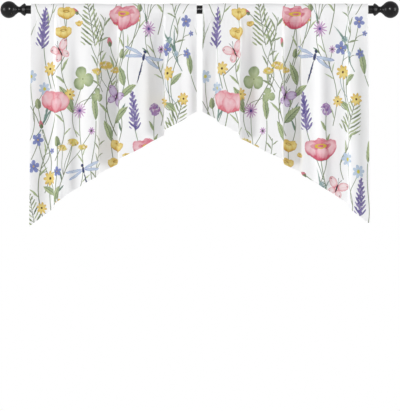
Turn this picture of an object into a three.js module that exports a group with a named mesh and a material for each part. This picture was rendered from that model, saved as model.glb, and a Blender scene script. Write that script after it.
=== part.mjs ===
// A pair of swag cafe curtains gathered on a ball-ended pole.
// Units are millimetres. +X runs along the pole, +Z is up and the room is on the -Y side.
// The origin is on the pole's axis, midway between the two curtains.
import * as THREE from "three";

// The pole and its two turned ball ends
const POLE_DIAMETER = 35;
const POLE_HALF_LENGTH = 707.7;
const POLE_SIDES = 32;
const JOINT_GAP = 0.3;
const BALL_DIAMETER = 70;
const BALL_CENTRE_OUT = 74;
const COLLAR_DIAMETER = 52;
const NECK_DIAMETER = 25;
const FINIAL_SIDES = 28;
const BALL_STEPS = 11;

// Each curtain: an outer side as long as a standard 36 inch drop, and a short inner side.
// The slanting hem between them is cut in a shallow upward curve.
const GAP_BETWEEN_CURTAINS = 24;
const HUNG_WIDTH = 678;
const LONGEST_DROP = 914;
const INNER_DROP = 442;
const HEM_CURVE = 31;
const CLOTH = 1.5;
const HEM_EXTRA = 0.9;
const HEM_DEPTH = 14;
const SIDE_HEM = 12;
const HEM_STEP = 1.2;

// The pocket that the pole runs through, measured from the pole's axis to the middle of the cloth
const POCKET_SLACK = 2.1;
const POCKET_FRONT_BULGE = 9;
const POCKET_BACK_BULGE = 7;
const POCKET_TOP_BULGE = 5.1;
const TOP_BULGE_IN_VALLEYS = 0.35;
const POCKET_WRAP_DEG = 116;
const POCKET_ARC_STEPS = 9;
const SEAM_BELOW_AXIS = 46;
const SEAM_FORWARD = 6;

// How the folds open out below the seam, and how the outer side swings out towards the hem
const FOLD_SHARE_AT_SEAM = 0.45;
const FOLD_SHARE_AT_HEM = 1.08;
const FOLD_OPENS_OVER = 240;
const FLARE = 0.013;
const WALL_RUN = 9;

// Folds: one row for each crest and valley, from the inner side outwards.
// at: distance from the inner side. out: how far it stands into the room.
// wall: where the cloth turns steeply before the next row. share: how much of the change is there.
const LEFT = {
  side: -1,
  outerDrop: LONGEST_DROP,
  folds: [
    { at: 0, out: -4 },
    { at: 18, out: -8 },
    { at: 72, out: 28, wall: 132, share: 0.9 },
    { at: 166, out: -26 },
    { at: 252, out: 30, wall: 320, share: 0.85 },
    { at: 355, out: -28, wall: 400, share: 0.45 },
    { at: 432, out: 24 },
    { at: 503, out: -6 },
    { at: 556, out: 24, wall: 578, share: 0.8 },
    { at: 618, out: -14 },
    { at: 678, out: 1 },
  ],
};
const RIGHT = {
  side: 1,
  outerDrop: 904,
  folds: [
    { at: 0, out: -4 },
    { at: 21, out: -12, wall: 62, share: 0.7 },
    { at: 90, out: 28, wall: 152, share: 0.85 },
    { at: 183, out: -24 },
    { at: 271, out: 28, wall: 330, share: 0.8 },
    { at: 366, out: -27, wall: 402, share: 0.5 },
    { at: 441, out: 25 },
    { at: 503, out: -6 },
    { at: 570, out: 24, wall: 594, share: 0.8 },
    { at: 630, out: -13 },
    { at: 678, out: 1 },
  ],
};
const DEEPEST_VALLEY = -28;
const HIGHEST_CREST = 30;
const STEPS_PER_FOLD_SIDE = 4;
const STEPS_BESIDE_A_WALL = 3;

// Rows below the seam, as shares of the way down to the hem's upper edge
const ROWS_BELOW_SEAM = [0.03, 0.12, 0.24, 0.4, 0.6, 0.8];

const poleRadius = POLE_DIAMETER / 2;

// Curve helpers

function smoothStep(t) {
  const c = Math.min(1, Math.max(0, t));
  return c * c * (3 - 2 * c);
}

function mix(a, b, t) {
  return a + (b - a) * t;
}

// The two rows of the fold table on either side of a distance from the curtain's inner side
function rowsAround(folds, at) {
  const next = Math.max(1, folds.findIndex((row) => row.at >= at));
  const from = folds[next - 1];
  const to = folds[next];
  return { from, to, gentle: smoothStep((at - from.at) / (to.at - from.at)) };
}

// How far the cloth stands into the room
function foldOut(folds, at) {
  const { from, to, gentle } = rowsAround(folds, at);
  if (from.wall === undefined) return mix(from.out, to.out, gentle);
  const steep = smoothStep((at - from.wall) / WALL_RUN + 0.5);
  return mix(from.out, to.out, mix(gentle, steep, from.share));
}

// 0 in the deepest valley, 1 on the highest crest, without the walls
function crestShare(folds, at) {
  const { from, to, gentle } = rowsAround(folds, at);
  return (mix(from.out, to.out, gentle) - DEEPEST_VALLEY) / (HIGHEST_CREST - DEEPEST_VALLEY);
}

// Where the cloth is cut by the model's upright section lines
function stationsOf(folds) {
  const stations = [SIDE_HEM, SIDE_HEM + HEM_STEP, HUNG_WIDTH - SIDE_HEM - HEM_STEP, HUNG_WIDTH - SIDE_HEM];
  folds.forEach((row, i) => {
    if (i + 1 === folds.length) return;
    const run = folds[i + 1].at - row.at;
    const steps = row.wall ? STEPS_BESIDE_A_WALL : STEPS_PER_FOLD_SIDE;
    for (let k = 0; k < steps; k++) stations.push(row.at + (run * k) / steps);
    if (row.wall) stations.push(row.wall - WALL_RUN / 2, row.wall, row.wall + WALL_RUN / 2);
  });
  stations.push(HUNG_WIDTH);
  stations.sort((a, b) => a - b);
  return stations.filter((at, i) => i === 0 || at - stations[i - 1] > 1.1);
}

// Length of the cloth along its folds from the inner side to each station
function pathLengths(folds, stations) {
  const lengths = [0];
  for (let i = 1; i < stations.length; i++) {
    const across = stations[i] - stations[i - 1];
    const out = foldOut(folds, stations[i]) - foldOut(folds, stations[i - 1]);
    lengths.push(lengths[i - 1] + Math.hypot(across, out));
  }
  return lengths;
}

// The cloth's middle line in one upright section: from the pocket's back edge, over the pole, down to the hem

function pocketLine(folds, at) {
  const crest = crestShare(folds, at);
  const snug = poleRadius + POCKET_SLACK;
  const front = snug + POCKET_FRONT_BULGE * crest;
  const back = snug + POCKET_BACK_BULGE * (1 - crest);
  const top = snug + POCKET_TOP_BULGE * mix(TOP_BULGE_IN_VALLEYS, 1, crest);
  const seamOut = SEAM_FORWARD + FOLD_SHARE_AT_SEAM * foldOut(folds, at);
  const line = [];
  for (let k = 0; k <= POCKET_ARC_STEPS; k++) {
    const angle = THREE.MathUtils.degToRad(mix(-POCKET_WRAP_DEG, POCKET_WRAP_DEG, k / POCKET_ARC_STEPS));
    const reach = angle < 0 ? back : front;
    const height = Math.cos(angle) > 0 ? top : reach;
    line.push({ out: reach * Math.sin(angle), z: height * Math.cos(angle) });
  }
  const last = line[line.length - 1];
  const seamBack = { out: seamOut - CLOTH, z: -SEAM_BELOW_AXIS };
  const seamFront = { out: seamOut, z: -SEAM_BELOW_AXIS };
  const halfDown = { out: (last.out + seamOut) / 2, z: (last.z - SEAM_BELOW_AXIS) / 2 };
  return [seamBack, ...line, halfDown, seamFront];
}

function hemHeight(outerDrop, pathShare) {
  const top = poleRadius + POCKET_SLACK + POCKET_TOP_BULGE;
  const curve = HEM_CURVE * Math.sin(Math.PI * pathShare ** 2);
  return top - mix(INNER_DROP, outerDrop, pathShare) + curve;
}

function skirtLine(folds, at, hem) {
  const hemTop = hem + HEM_DEPTH;
  const heights = ROWS_BELOW_SEAM.map((share) => mix(-SEAM_BELOW_AXIS, hemTop, share));
  heights.push(hemTop + HEM_STEP, hemTop, hem);
  return heights.map((z) => {
    const opened = smoothStep((-SEAM_BELOW_AXIS - z) / FOLD_OPENS_OVER);
    const share = mix(FOLD_SHARE_AT_SEAM, mix(1, FOLD_SHARE_AT_HEM, -z / LONGEST_DROP), opened);
    return { out: mix(SEAM_FORWARD, 0, opened) + share * foldOut(folds, at), z };
  });
}

// The cloth's two faces: each point of the middle grid is moved half a thickness to either side

function faceGrids(middle, hemStart, stations) {
  const outer = [];
  const inner = [];
  middle.forEach((line, i) => {
    const before = middle[Math.max(0, i - 1)];
    const after = middle[Math.min(middle.length - 1, i + 1)];
    const sideHem = stations[i] <= SIDE_HEM || stations[i] >= HUNG_WIDTH - SIDE_HEM;
    outer.push([]);
    inner.push([]);
    line.forEach((point, k) => {
      const up = line[Math.max(0, k - 1)];
      const down = line[Math.min(line.length - 1, k + 1)];
      const across = after[k].clone().sub(before[k]);
      const normal = across.cross(up.clone().sub(down)).normalize();
      const hemmed = sideHem || k >= hemStart;
      const half = (CLOTH + (hemmed ? HEM_EXTRA : 0)) / 2;
      outer[i].push(point.clone().addScaledVector(normal, half));
      inner[i].push(point.clone().addScaledVector(normal, -half));
    });
  });
  return { outer, inner };
}

// One closed solid: a sheet that runs up the front, over the pole and down to the seam that closes the pocket

function curtainGeometry({ folds, side, outerDrop }) {
  const stations = stationsOf(folds);
  const lengths = pathLengths(folds, stations);
  const flatWidth = lengths[lengths.length - 1];
  const middle = stations.map((at, i) => {
    const hem = hemHeight(outerDrop, lengths[i] / flatWidth);
    const line = [...pocketLine(folds, at), ...skirtLine(folds, at, hem)];
    return line.map(({ out, z }) => {
      const swing = at * (1 + FLARE * Math.max(0, -z / LONGEST_DROP));
      return new THREE.Vector3(swing, -out, z);
    });
  });
  const rows = middle[0].length;
  const seamRow = pocketLine(folds, 0).length - 1;
  const { outer, inner } = faceGrids(middle, rows - 2, stations);

  // The seam: the pocket's two layers meet in one inner line, and the back layer ends outside the front one
  middle.forEach((line, i) => {
    const seam = line[seamRow];
    const halfCloth = outer[i][seamRow].distanceTo(seam);
    outer[i][seamRow].set(seam.x, seam.y - halfCloth, seam.z);
    inner[i][seamRow].set(seam.x, seam.y + halfCloth, seam.z);
    inner[i][0].copy(inner[i][seamRow]);
    outer[i][0].set(seam.x, seam.y + 3 * halfCloth, seam.z);
  });

  // Point numbers for each section: the outside ring, then the pocket's inside ring
  const outsideRing = outer[0].length + (rows - 1 - seamRow);
  const perSection = outsideRing + seamRow;
  const positions = [];
  middle.forEach((_, i) => {
    const ring = [...outer[i], ...inner[i].slice(seamRow + 1).reverse(), ...inner[i].slice(0, seamRow)];
    ring.forEach((p) => positions.push(side * (GAP_BETWEEN_CURTAINS / 2 + p.x), p.y, p.z));
  });
  const outerAt = (i, k) => i * perSection + k;
  const innerAt = (i, k) => {
    if (k > seamRow) return i * perSection + rows + (rows - 1 - k);
    return i * perSection + outsideRing + (k % seamRow);
  };

  const triangles = [];
  const addTriangle = (a, b, c) => triangles.push(...(side > 0 ? [a, b, c] : [a, c, b]));
  const addQuad = (a, b, c, d) => {
    addTriangle(a, b, c);
    addTriangle(a, c, d);
  };
  for (let i = 0; i + 1 < stations.length; i++) {
    for (let k = 0; k < outsideRing; k++) {
      const next = (k + 1) % outsideRing;
      addQuad(outerAt(i, k), outerAt(i, next), outerAt(i + 1, next), outerAt(i + 1, k));
    }
    for (let k = 0; k < seamRow; k++) {
      addQuad(innerAt(i, k), innerAt(i + 1, k), innerAt(i + 1, k + 1), innerAt(i, k + 1));
    }
  }
  const closeEnd = (i, add) => {
    for (let k = 0; k < seamRow; k++) {
      add(outerAt(i, k), innerAt(i, k), outerAt(i, k + 1));
      add(outerAt(i, k + 1), innerAt(i, k), innerAt(i, k + 1));
    }
    add(outerAt(i, 0), innerAt(i, seamRow + 1), innerAt(i, 0));
    add(innerAt(i, 0), innerAt(i, seamRow + 1), outerAt(i, seamRow + 1));
    add(innerAt(i, 0), outerAt(i, seamRow + 1), outerAt(i, seamRow));
    for (let k = seamRow + 1; k + 1 < rows; k++) {
      add(outerAt(i, k), innerAt(i, k), outerAt(i, k + 1));
      add(outerAt(i, k + 1), innerAt(i, k), innerAt(i, k + 1));
    }
  };
  closeEnd(0, addTriangle);
  closeEnd(stations.length - 1, (a, b, c) => addTriangle(a, c, b));

  const geometry = new THREE.BufferGeometry();
  geometry.setAttribute("position", new THREE.Float32BufferAttribute(positions, 3));
  geometry.setIndex(triangles);
  geometry.computeVertexNormals();
  return geometry;
}

// The pole and its ball ends

function poleGeometry() {
  const geometry = new THREE.CylinderGeometry(poleRadius, poleRadius, 2 * POLE_HALF_LENGTH, POLE_SIDES);
  // Half a side's turn puts a flat side underneath, where a bracket holds it
  geometry.rotateY(Math.PI / POLE_SIDES);
  return geometry.rotateZ(Math.PI / 2);
}

// Profile of a ball end, from the face that meets the pole outwards along +Y
function finialGeometry() {
  const ball = BALL_DIAMETER / 2;
  const collar = COLLAR_DIAMETER / 2;
  const neck = NECK_DIAMETER / 2;
  const profile = [
    [0, 0],
    [poleRadius, 0],
    [poleRadius, 2.6],
    [poleRadius + 3.8, 4.4],
    [collar - 0.8, 8.4],
    [collar, 10],
    [collar - 0.9, 12],
    [collar - 3.2, 15.4],
    [collar - 5.8, 19.4],
    [neck + 3.8, 24],
    [neck + 0.9, 27.6],
    [neck, 31],
    [neck + 0.2, 34],
    [neck + 1.5, 37],
    [neck + 4.8, 41],
  ];
  const ballStart = Math.asin((neck + 8.5) / ball);
  for (let k = 0; k <= BALL_STEPS; k++) {
    const angle = mix(ballStart, Math.PI, k / BALL_STEPS);
    const radius = k === BALL_STEPS ? 0 : ball * Math.sin(angle);
    profile.push([radius, BALL_CENTRE_OUT - ball * Math.cos(angle)]);
  }
  const points = profile.map(([radius, along]) => new THREE.Vector2(radius, along));
  return new THREE.LatheGeometry(points, FINIAL_SIDES);
}

// Materials

const blackPaint = new THREE.MeshStandardMaterial({ color: 0x101011, roughness: 0.38, metalness: 0.2 });
const printedCloth = new THREE.MeshStandardMaterial({ color: 0xeeeef1, roughness: 0.85, metalness: 0 });

// The object

function add(group, name, geometry, material) {
  const mesh = new THREE.Mesh(geometry, material);
  mesh.name = name;
  group.add(mesh);
  return mesh;
}

const curtains = new THREE.Group();
add(curtains, "pole", poleGeometry(), blackPaint);
for (const [name, side] of [["finial_left", -1], ["finial_right", 1]]) {
  const finial = add(curtains, name, finialGeometry(), blackPaint);
  finial.rotation.z = -side * (Math.PI / 2);
  finial.position.x = side * (POLE_HALF_LENGTH + JOINT_GAP);
}
add(curtains, "curtain_left", curtainGeometry(LEFT), printedCloth);
add(curtains, "curtain_right", curtainGeometry(RIGHT), printedCloth);

export default curtains;
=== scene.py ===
# A pair of swag cafe curtains gathered on a black pole with ball ends.
# Metres; +X runs along the pole, +Z is up and the room is on the -Y side.
# The origin is on the pole's axis, midway between the curtains.
import math

import bmesh
import bpy
import numpy as np
from mathutils import Matrix, Vector


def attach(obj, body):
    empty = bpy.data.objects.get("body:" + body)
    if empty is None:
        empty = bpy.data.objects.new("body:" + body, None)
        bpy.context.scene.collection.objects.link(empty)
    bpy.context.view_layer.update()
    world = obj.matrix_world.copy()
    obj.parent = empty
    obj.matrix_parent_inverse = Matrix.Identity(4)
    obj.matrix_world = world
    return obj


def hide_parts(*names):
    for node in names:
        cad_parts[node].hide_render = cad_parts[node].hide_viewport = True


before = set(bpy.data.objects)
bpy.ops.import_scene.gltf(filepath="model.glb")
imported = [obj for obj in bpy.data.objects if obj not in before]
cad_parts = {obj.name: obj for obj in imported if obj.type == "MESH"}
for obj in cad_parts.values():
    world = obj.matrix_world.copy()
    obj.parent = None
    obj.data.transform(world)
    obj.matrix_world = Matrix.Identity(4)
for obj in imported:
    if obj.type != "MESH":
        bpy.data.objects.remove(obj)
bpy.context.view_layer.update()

MM = 0.001

# The photograph's frame, square on to the curtains
PHOTO_WIDTH, PHOTO_HEIGHT = 400, 411
METRES_PER_PIXEL = 4.1 * MM
ORIGIN_PIXEL = (199.6, 9.6)
CAMERA_DISTANCE = 12.0
SENSOR = 36.0

# The pole and its ball ends
POLE_RADIUS = 17.5 * MM
POLE_END = 707.7 * MM
BALL_RADIUS = 35 * MM
BALL_CENTRE = 74 * MM
COLLAR_RADIUS = 26 * MM
BALL_END_GAP = 0.3 * MM
TURNED_SIDES = 96

# Each curtain
INNER_SIDE = 12 * MM
HUNG_WIDTH = 678 * MM
LONGEST_DROP = 914 * MM
RIGHT_DROP = 904 * MM
INNER_DROP = 442 * MM
HEM_CURVE = 31 * MM
CLOTH = 0.9 * MM
HEM_EXTRA = 0.5 * MM
LAYER_GAP = 0.25 * MM
HEM_DEPTH = 14 * MM
SIDE_HEM = 12 * MM
POCKET_TOP = 24.7 * MM
POCKET_FIT = 19.6 * MM
POCKET_FRONT_BULGE = 9 * MM
POCKET_BACK_BULGE = 7 * MM
POCKET_TOP_BULGE = 5.1 * MM
TOP_BULGE_IN_VALLEYS = 0.35
POCKET_WRAP = math.radians(116)
SEAM_HEIGHT = -46 * MM
SEAM_FORWARD = 6 * MM
FOLD_SHARE_AT_SEAM = 0.45
FOLD_SHARE_AT_HEM = 1.08
FOLD_OPENS_OVER = 240 * MM
FLARE = 0.013
LOOSE_BELOW_SEAM = 100 * MM
HEM_RIPPLES_OVER = 40 * MM
WANDER = 2.2 * MM
STEADY_SIDE = 50 * MM

# In millimetres, as in the tables of folds
WALL_RUN = 9
DEEPEST_VALLEY = -28
HIGHEST_CREST = 30
BEND_RADIUS = 3.6

# The bare cloth's colour, how far the print is evened out over the hung width, and the weave's repeat
PAPER = (0.86, 0.86, 0.868)
PRINT_EASE = 0.5
THREAD = 0.62 * MM

# The sewing
SEWN_INSIDE_EDGE = 1.6 * MM
STITCH_PITCH = 4.4 * MM
STITCH_LENGTH = 3.3 * MM
STITCH_WIDTH = 0.55 * MM

# The cloth's grid
COLUMNS = 236
POCKET_BACK_ROWS = 7
POCKET_ARC_ROWS = 26
POCKET_FRONT_ROWS = 8
SKIRT_ROWS = 132

# Folds, from the inner side outwards, in millimetres: at is the distance from the inner side, and out is
# how far the cloth stands into the room. Around wall the cloth turns steeply, for that share of its way
# to the next row; the rest of the way is gentle.
LEFT_FOLDS = [
    {"at": 0, "out": -4},
    {"at": 18, "out": -8},
    {"at": 72, "out": 28, "wall": 132, "share": 0.9},
    {"at": 166, "out": -26},
    {"at": 252, "out": 30, "wall": 320, "share": 0.85},
    {"at": 355, "out": -28, "wall": 400, "share": 0.45},
    {"at": 432, "out": 24},
    {"at": 503, "out": -6},
    {"at": 556, "out": 24, "wall": 578, "share": 0.8},
    {"at": 618, "out": -14},
    {"at": 678, "out": 1},
]
RIGHT_FOLDS = [
    {"at": 0, "out": -4},
    {"at": 21, "out": -12, "wall": 62, "share": 0.7},
    {"at": 90, "out": 28, "wall": 152, "share": 0.85},
    {"at": 183, "out": -24},
    {"at": 271, "out": 28, "wall": 330, "share": 0.8},
    {"at": 366, "out": -27, "wall": 402, "share": 0.5},
    {"at": 441, "out": 25},
    {"at": 503, "out": -6},
    {"at": 570, "out": 24, "wall": 594, "share": 0.8},
    {"at": 630, "out": -13},
    {"at": 678, "out": 1},
]


def smooth(t):
    t = np.clip(t, 0, 1)
    return t * t * (3 - 2 * t)


def mix(a, b, t):
    return a + (b - a) * t


def add_object(name, data):
    """Puts a new object into the scene."""
    made = bpy.data.objects.new(name, data)
    bpy.context.collection.objects.link(made)
    return made


# How the cloth hangs

def fold_line(folds):
    """The folds at even steps of cloth: distance from the inner side, how far out, and share of crest."""
    at = np.arange(0, folds[-1]["at"] + 0.25, 0.5)
    out = np.zeros_like(at)
    gentle_out = np.zeros_like(at)
    for row, after in zip(folds, folds[1:]):
        here = (at >= row["at"]) & (at <= after["at"])
        gentle = smooth((at[here] - row["at"]) / (after["at"] - row["at"]))
        turned = gentle
        if "wall" in row:
            steep = smooth((at[here] - row["wall"]) / WALL_RUN + 0.5)
            turned = mix(gentle, steep, row["share"])
        out[here] = mix(row["out"], after["out"], turned)
        gentle_out[here] = mix(row["out"], after["out"], gentle)
    path = np.concatenate([[0], np.cumsum(np.hypot(np.diff(at), np.diff(out)))])
    even = np.linspace(0, path[-1], 2400)
    step = even[1]
    reach = int(4 * BEND_RADIUS / step)
    weight = np.exp(-0.5 * (np.arange(-reach, reach + 1) * step / BEND_RADIUS) ** 2)
    weight /= weight.sum()

    def rounded(values):
        line = np.interp(even, path, values)
        before = 2 * line[0] - line[reach:0:-1]
        beyond = 2 * line[-1] - line[-2:-reach - 2:-1]
        return np.convolve(np.concatenate([before, line, beyond]), weight, "valid")

    crest = (np.interp(even, path, gentle_out) - DEEPEST_VALLEY) / (HIGHEST_CREST - DEEPEST_VALLEY)
    return {"cloth": even * MM, "at": rounded(at) * MM, "out": rounded(out) * MM, "crest": crest}


def ripples(u, v, length, seed, stretch=1.0):
    """A soft uneven height of about -1 to 1, its bumps about length long, drawn out along v by stretch."""
    rng = np.random.default_rng(seed)
    total = np.zeros(np.broadcast(u, v).shape)
    waves = 9
    for _ in range(waves):
        turn = rng.uniform(0, math.pi)
        pitch = length * rng.uniform(0.75, 1.6)
        phase = rng.uniform(0, 2 * math.pi)
        along = u * math.cos(turn) + v / stretch * math.sin(turn)
        total += np.sin(2 * math.pi * along / pitch + phase)
    return total / math.sqrt(waves * 2)


def gathers(u, drop, seed):
    """Short creases that run down from the pocket's seam, where the cloth is drawn together on the pole."""
    rng = np.random.default_rng(seed)
    total = np.zeros(np.broadcast(u, drop).shape)
    widens_over, rise = 80 * MM, 28 * MM
    middle = rng.uniform(0, 12 * MM)
    while middle < u.max():
        width = rng.uniform(2.6, 6.5) * MM
        depth = rng.uniform(0.5, 2.1) * MM * rng.choice([-1, 1], p=[0.4, 0.6])
        reach = rng.uniform(18, 95) * MM
        lean = rng.uniform(-0.22, 0.22)
        away = (u - middle - lean * drop) / (width * (1 + np.abs(drop) / widens_over))
        below = np.where(drop > 0, np.exp(-((drop / reach) ** 2)), np.exp(-((drop / rise) ** 2)))
        total += depth * np.exp(-away * away) * below
        middle += width * rng.uniform(1.6, 3.8)
    return total


def tangent_curve(start, start_direction, end, end_direction, count):
    """Points after start, up to end, on a cubic that leaves and arrives in the given directions."""
    reach = np.linalg.norm(end - start, axis=-1, keepdims=True)
    points = []
    for t in np.arange(1, count + 1) / count:
        points.append(
            (2 * t**3 - 3 * t**2 + 1) * start
            + (t**3 - 2 * t**2 + t) * start_direction * reach
            + (3 * t**2 - 2 * t**3) * end
            + (t**3 - t**2) * end_direction * reach
        )
    return points


def hem_height(outer_drop, share):
    curve = HEM_CURVE * np.sin(math.pi * share**2)
    return POCKET_TOP - mix(INNER_DROP, outer_drop, share) + curve


def hang(folds, outer_drop, seed):
    """The cloth's middle as a grid of points, rows down and columns across, with its flat coordinates."""
    line = fold_line(folds)
    flat_width = line["cloth"][-1]
    u = np.linspace(0, flat_width, COLUMNS + 1)
    at = np.interp(u, line["cloth"], line["at"])
    fold = np.interp(u, line["cloth"], line["out"])
    crest = np.interp(u, line["cloth"], line["crest"])

    front = POCKET_FIT + POCKET_FRONT_BULGE * crest
    back = POCKET_FIT + POCKET_BACK_BULGE * (1 - crest)
    top = POCKET_FIT + POCKET_TOP_BULGE * mix(TOP_BULGE_IN_VALLEYS, 1, crest)
    seam_out = SEAM_FORWARD + FOLD_SHARE_AT_SEAM * fold
    arc = []
    for angle in np.linspace(-POCKET_WRAP, POCKET_WRAP, POCKET_ARC_ROWS + 1):
        reach = mix(back, front, smooth(np.array(angle / 0.8 + 0.5)))
        height = top if math.cos(angle) > 0 else reach
        arc.append(np.stack([reach * math.sin(angle), height * math.cos(angle)], -1))
    seam = np.stack([seam_out, np.full_like(u, SEAM_HEIGHT)], -1)
    # The pocket's back layer stays clear of the front one, also where a fold or a gather is steep
    room_to_gather = np.clip(np.gradient(at, u), 0, 1) ** 2
    seam_plan = seam_out + gathers(u, np.zeros_like(u), seed) * room_to_gather
    steepness = np.hypot(1, np.gradient(seam_plan, at))
    back_seam = seam - np.stack([(CLOTH + HEM_EXTRA + LAYER_GAP) * steepness, np.zeros_like(u)], -1)
    inwards, along = math.cos(POCKET_WRAP), math.sin(POCKET_WRAP)
    rise = tangent_curve(back_seam, np.array([0, 1]), arc[0], np.array([inwards, along]), POCKET_BACK_ROWS)
    fall = tangent_curve(arc[-1], np.array([inwards, -along]), seam, np.array([0, -1]), POCKET_FRONT_ROWS)
    rows = [back_seam, *rise[:-1], *arc, *fall]
    seam_row = len(rows) - 1

    hem = hem_height(outer_drop, u / flat_width)
    for share in np.arange(1, SKIRT_ROWS + 1) / SKIRT_ROWS:
        z = mix(SEAM_HEIGHT, hem, share)
        opened = smooth((SEAM_HEIGHT - z) / FOLD_OPENS_OVER)
        depth = mix(FOLD_SHARE_AT_SEAM, mix(1, FOLD_SHARE_AT_HEM, -z / LONGEST_DROP), opened)
        rows.append(np.stack([mix(SEAM_FORWARD, 0, opened) + depth * fold, z], -1))
    grid = np.array(rows)
    out, z = grid[..., 0], grid[..., 1]

    steps_down = np.hypot(np.diff(out, axis=0), np.diff(z, axis=0))
    down = np.concatenate([np.zeros((1, len(u))), np.cumsum(steps_down, 0)])
    top_row = POCKET_BACK_ROWS + POCKET_ARC_ROWS // 2
    v = down - down[top_row]
    u_grid = np.broadcast_to(u, v.shape)
    drop = v - v[seam_row]
    drop[:top_row] = -down[:top_row]
    below = smooth(drop / LOOSE_BELOW_SEAM)
    near_hem = 1 - smooth((z - hem) / HEM_RIPPLES_OVER)

    out = out + gathers(u_grid, drop, seed) * room_to_gather
    out = out + ripples(u_grid, v, 0.16, seed + 1, stretch=2.2) * 1.5 * MM * below
    out = out + ripples(u_grid, v, 0.05, seed + 2, stretch=3.0) * 0.45 * MM * below
    out = out + ripples(u_grid, v, 0.022, seed + 3) * 0.25 * MM * near_hem * below
    wander = ripples(u_grid * 0.3, v, 0.42, seed + 4) * WANDER * below
    edge = smooth(u_grid / STEADY_SIDE) * smooth((flat_width - u_grid) / STEADY_SIDE)
    x = (at + wander * edge) * (1 + FLARE * np.maximum(0, -z / LONGEST_DROP))
    points = np.stack([x, -out, z], -1)
    printed = np.broadcast_to(mix(u, at * flat_width / HUNG_WIDTH, PRINT_EASE), v.shape)
    return {
        "points": points,
        "u": u_grid,
        "v": v,
        "printed": printed,
        "seam_row": seam_row,
        "hem": hem,
        "flat_width": flat_width,
    }


def grid_normals(points):
    across = np.gradient(points, axis=1)
    down = np.gradient(points, axis=0)
    normal = np.cross(down, across)
    return normal / np.linalg.norm(normal, axis=-1, keepdims=True)


def strip(a, b):
    """Quads between two rows of point numbers."""
    return np.stack([a[:-1], b[:-1], b[1:], a[1:]], -1)


def curtain_sheet(name, side, folds, outer_drop, seed):
    """One curtain as a closed thin sheet. Returns the object, and each face's corners on the flat cloth."""
    cloth = hang(folds, outer_drop, seed)
    points, u, v = cloth["points"], cloth["u"], cloth["v"]
    normal = grid_normals(points)
    by_side = (u < SIDE_HEM) | (u > cloth["flat_width"] - SIDE_HEM)
    hemmed = by_side | (points[..., 2] < cloth["hem"] + HEM_DEPTH)
    half = ((CLOTH + HEM_EXTRA * hemmed) / 2)[..., None]
    faces_out = points + normal * half
    faces_in = points - normal * half
    placed = np.concatenate([faces_out.reshape(-1, 3), faces_in.reshape(-1, 3)])
    placed[:, 0] = side * (INNER_SIDE + placed[:, 0])

    rows, columns = u.shape
    number = np.arange(rows * columns).reshape(rows, columns)
    quads = np.stack([number[:-1, :-1], number[1:, :-1], number[1:, 1:], number[:-1, 1:]], -1).reshape(-1, 4)
    under = rows * columns
    rim = [
        strip(number[0] + under, number[0]),
        strip(number[-1], number[-1] + under),
        strip(number[:, 0], number[:, 0] + under),
        strip(number[:, -1] + under, number[:, -1]),
    ]
    good_side = np.concatenate([quads, *rim])
    wrong_side = quads[:, ::-1] + under
    faces = np.concatenate([good_side, wrong_side])
    if side < 0:
        faces = faces[:, ::-1]
    mesh = bpy.data.meshes.new(name)
    mesh.from_pydata(placed.tolist(), [], faces.tolist())
    mesh.validate()
    mesh.shade_smooth()
    mesh.set_sharp_from_angle(angle=math.radians(62))

    corners = np.zeros(len(mesh.loops), np.int32)
    mesh.loops.foreach_get("vertex_index", corners)

    def laid_flat(across):
        flat = np.stack([side * (INNER_SIDE + across), -v], -1).reshape(-1, 2)
        return np.concatenate([flat, flat])[corners]

    uv = mesh.uv_layers.new(name="cut")
    uv.data.foreach_set("uv", laid_flat(u).ravel().astype(np.float32))
    on_print = laid_flat(cloth["printed"]).reshape(-1, 4, 2)
    backs = mesh.attributes.new("wrong_side", "FLOAT", "FACE")
    wrong = (np.arange(len(faces)) >= len(good_side)).astype(np.float32)
    backs.data.foreach_set("value", wrong)
    return add_object(name, mesh), on_print, cloth


# Formulas in a node tree

class Field:
    """A number that a node tree works out at each point, so that a formula reads as one."""

    def __init__(self, tree, socket):
        self.tree, self.socket = tree, socket

    def math(self, operation, *others):
        node = self.tree.nodes.new("ShaderNodeMath")
        node.operation = operation
        for slot, value in zip(node.inputs, (self, *others)):
            if isinstance(value, Field):
                self.tree.links.new(value.socket, slot)
            else:
                slot.default_value = float(value)
        return Field(self.tree, node.outputs[0])

    def __add__(self, other):
        return self.math("ADD", other)

    def __sub__(self, other):
        return self.math("SUBTRACT", other)

    def __mul__(self, other):
        return self.math("MULTIPLY", other)

    def __truediv__(self, other):
        return self.math("DIVIDE", other)

    def __pow__(self, other):
        return self.math("POWER", other)

    def __abs__(self):
        return self.math("ABSOLUTE")

    def __neg__(self):
        return self * -1

    def __radd__(self, other):
        return self + other

    def __rmul__(self, other):
        return self * other

    def __rsub__(self, other):
        return -self + other

    def most(self, other):
        return self.math("MAXIMUM", other)

    def least(self, other):
        return self.math("MINIMUM", other)

    def soft(self, low, high):
        """0 below low, 1 above high, smooth between."""
        node = self.tree.nodes.new("ShaderNodeMapRange")
        node.interpolation_type = "SMOOTHSTEP"
        self.tree.links.new(self.socket, node.inputs["Value"])
        node.inputs["From Min"].default_value = low
        node.inputs["From Max"].default_value = high
        return Field(self.tree, node.outputs["Result"])

    def to(self, other, share):
        """This value, or the other where share is 1."""
        return self + (other - self) * share

    def is_kind(self, kind):
        return self.math("COMPARE", kind, 0.5)


# What follows a line, the turned metal and the stitches, is grown by Geometry Nodes from a few guide points

def new_tree(name, **inputs):
    """An empty geometry tree with named inputs; returns it, its input node and its output node."""
    tree = bpy.data.node_groups.new(name, "GeometryNodeTree")
    tree.interface.new_socket("Geometry", in_out="INPUT", socket_type="NodeSocketGeometry")
    for label, kind in inputs.items():
        tree.interface.new_socket(label.replace("_", " "), in_out="INPUT", socket_type=kind)
    tree.interface.new_socket("Geometry", in_out="OUTPUT", socket_type="NodeSocketGeometry")
    return tree, tree.nodes.new("NodeGroupInput").outputs, tree.nodes.new("NodeGroupOutput").inputs


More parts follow.
